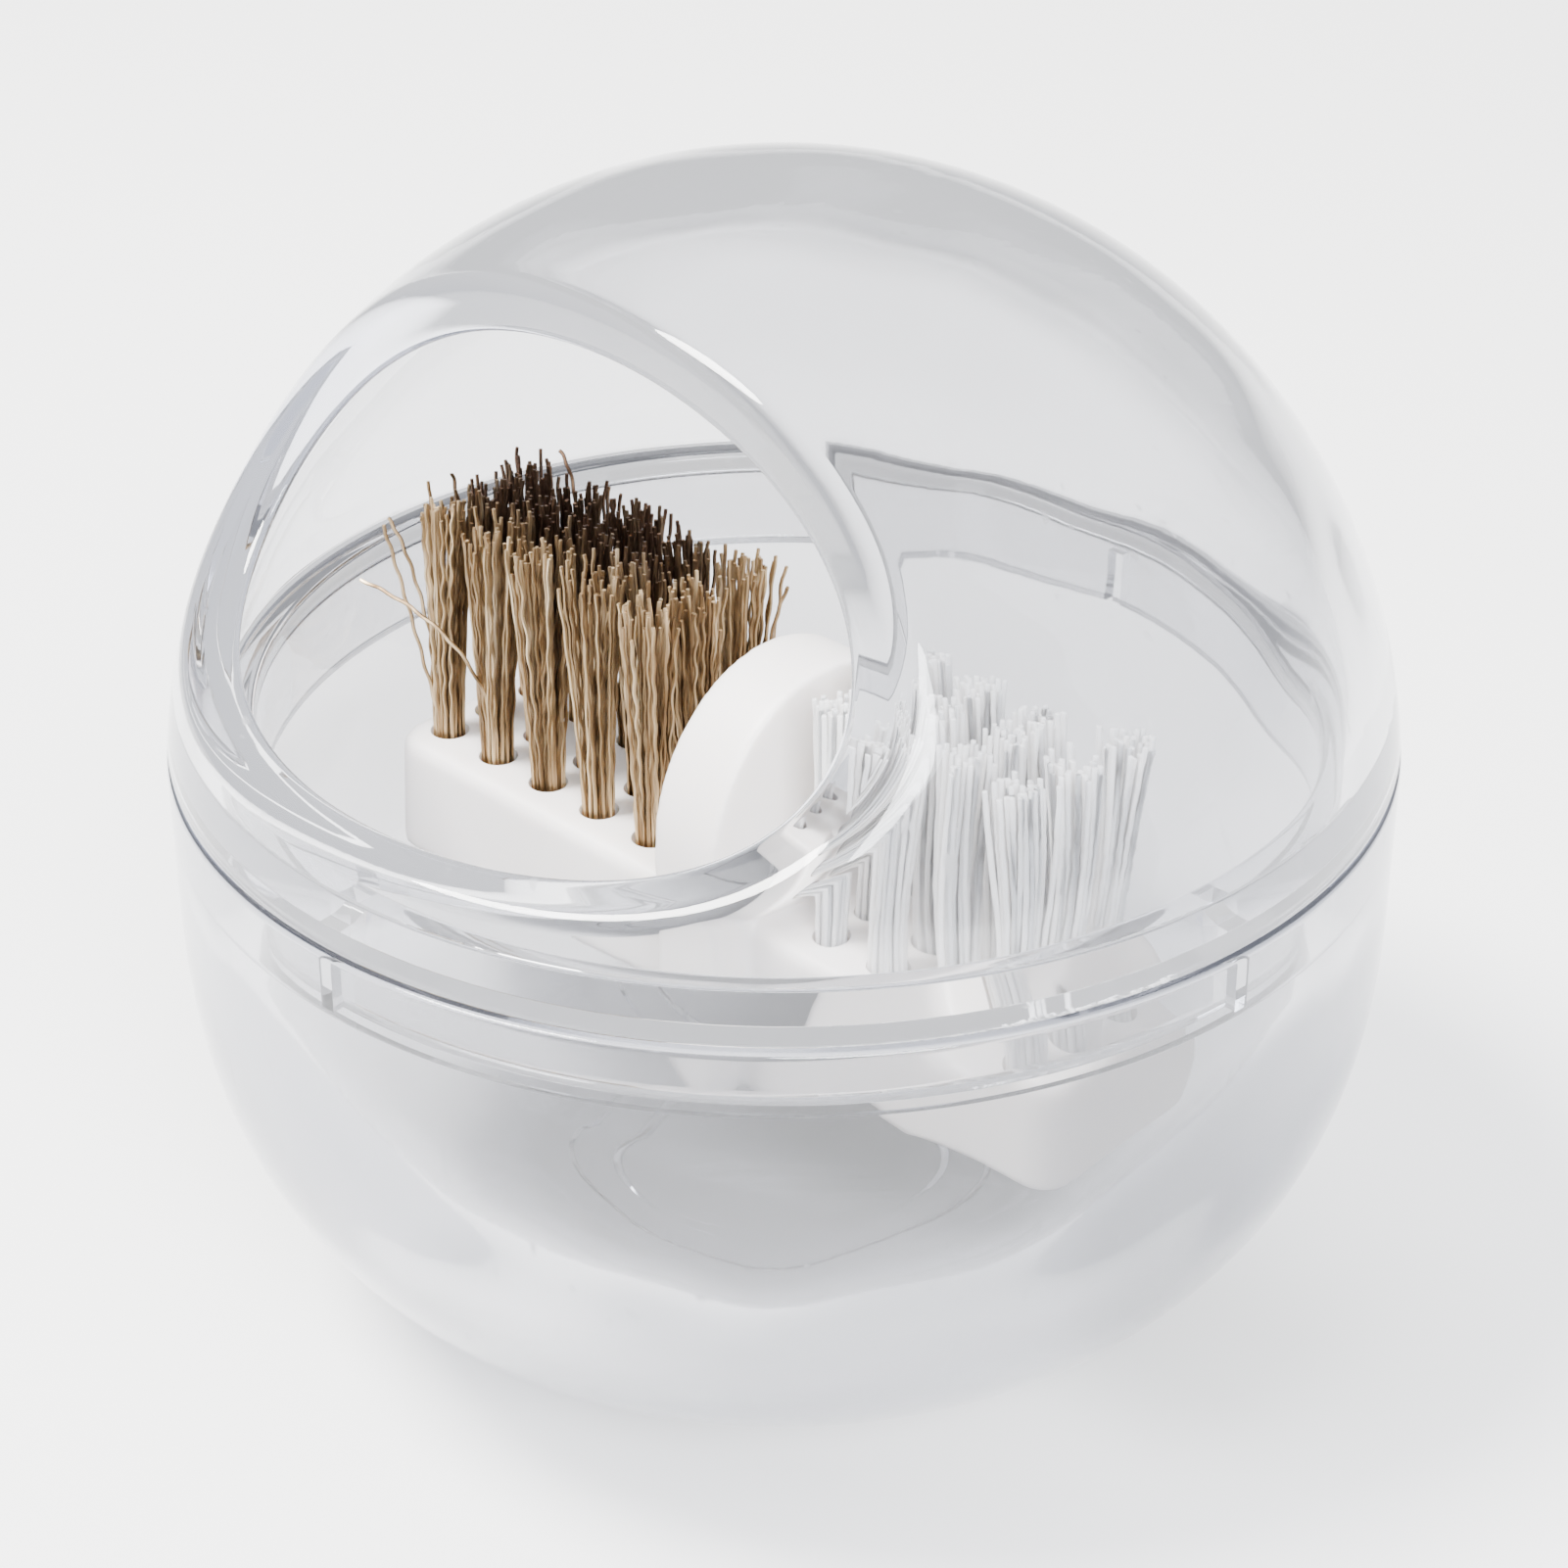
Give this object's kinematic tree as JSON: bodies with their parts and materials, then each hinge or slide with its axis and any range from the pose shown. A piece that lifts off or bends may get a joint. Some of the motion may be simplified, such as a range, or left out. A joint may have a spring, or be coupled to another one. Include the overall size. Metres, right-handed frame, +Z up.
{
  "type": "soldering tip cleaning brush",
  "caption": "Clear ball box with a pull-off dome lid, open at its front, that holds a white brush block of brass wire and nylon tufts for wiping a soldering tip.",
  "frame": {"origin": "centre of the flat foot's underside", "axes": "+Z up; X along the tuft rows with the brass tufts on -X; -Y is the front, where the lid's opening is"},
  "size_m": [0.0598, 0.0598, 0.058],
  "materials": {
    "clear_plastic": "polished",
    "white_plastic": "satin",
    "brass_wire": "satin",
    "nylon_bristle": "satin",
    "anchor_steel": "satin"
  },
  "bodies": {
    "base": {"cup": "clear_plastic"},
    "lid": {"dome_lid": "clear_plastic"},
    "brush": {"brush_holder": "white_plastic", "tuft_brass_c1_r1": "brass_wire", "tuft_brass_c1_r2": "brass_wire", "tuft_brass_c1_r3": "brass_wire", "tuft_brass_c2_r1": "brass_wire", "tuft_brass_c2_r2": "brass_wire", "tuft_brass_c2_r3": "brass_wire", "tuft_brass_c3_r1": "brass_wire", "tuft_brass_c3_r2": "brass_wire", "tuft_brass_c3_r3": "brass_wire", "tuft_brass_c4_r1": "brass_wire", "tuft_brass_c4_r2": "brass_wire", "tuft_brass_c4_r3": "brass_wire", "tuft_brass_c5_r1": "brass_wire", "tuft_brass_c5_r2": "brass_wire", "tuft_brass_c5_r3": "brass_wire", "tuft_nylon_c1_r1": "nylon_bristle", "tuft_nylon_c1_r2": "nylon_bristle", "tuft_nylon_c1_r3": "nylon_bristle", "tuft_nylon_c2_r1": "nylon_bristle", "tuft_nylon_c2_r2": "nylon_bristle", "tuft_nylon_c2_r3": "nylon_bristle", "tuft_nylon_c3_r1": "nylon_bristle", "tuft_nylon_c3_r2": "nylon_bristle", "tuft_nylon_c3_r3": "nylon_bristle", "tuft_nylon_c4_r1": "nylon_bristle", "tuft_nylon_c4_r2": "nylon_bristle", "tuft_nylon_c4_r3": "nylon_bristle", "anchor_brass_c1_r1": "anchor_steel", "anchor_brass_c1_r2": "anchor_steel", "anchor_brass_c1_r3": "anchor_steel", "anchor_brass_c2_r1": "anchor_steel", "anchor_brass_c2_r2": "anchor_steel", "anchor_brass_c2_r3": "anchor_steel", "anchor_brass_c3_r1": "anchor_steel", "anchor_brass_c3_r2": "anchor_steel", "anchor_brass_c3_r3": "anchor_steel", "anchor_brass_c4_r1": "anchor_steel", "anchor_brass_c4_r2": "anchor_steel", "anchor_brass_c4_r3": "anchor_steel", "anchor_brass_c5_r1": "anchor_steel", "anchor_brass_c5_r2": "anchor_steel", "anchor_brass_c5_r3": "anchor_steel", "anchor_nylon_c1_r1": "anchor_steel", "anchor_nylon_c1_r2": "anchor_steel", "anchor_nylon_c1_r3": "anchor_steel", "anchor_nylon_c2_r1": "anchor_steel", "anchor_nylon_c2_r2": "anchor_steel", "anchor_nylon_c2_r3": "anchor_steel", "anchor_nylon_c3_r1": "anchor_steel", "anchor_nylon_c3_r2": "anchor_steel", "anchor_nylon_c3_r3": "anchor_steel", "anchor_nylon_c4_r1": "anchor_steel", "anchor_nylon_c4_r2": "anchor_steel", "anchor_nylon_c4_r3": "anchor_steel"}
  },
  "joints": [
    {"name": "lid_lift", "type": "slide", "parent": "base", "child": "lid", "axis": [0, 0, 1], "range_m": [0, 0.03]},
    {"name": "brush_lift", "type": "slide", "parent": "base", "child": "brush", "axis": [0, 0, 1], "range_m": [0, 0.004]}
  ]
}
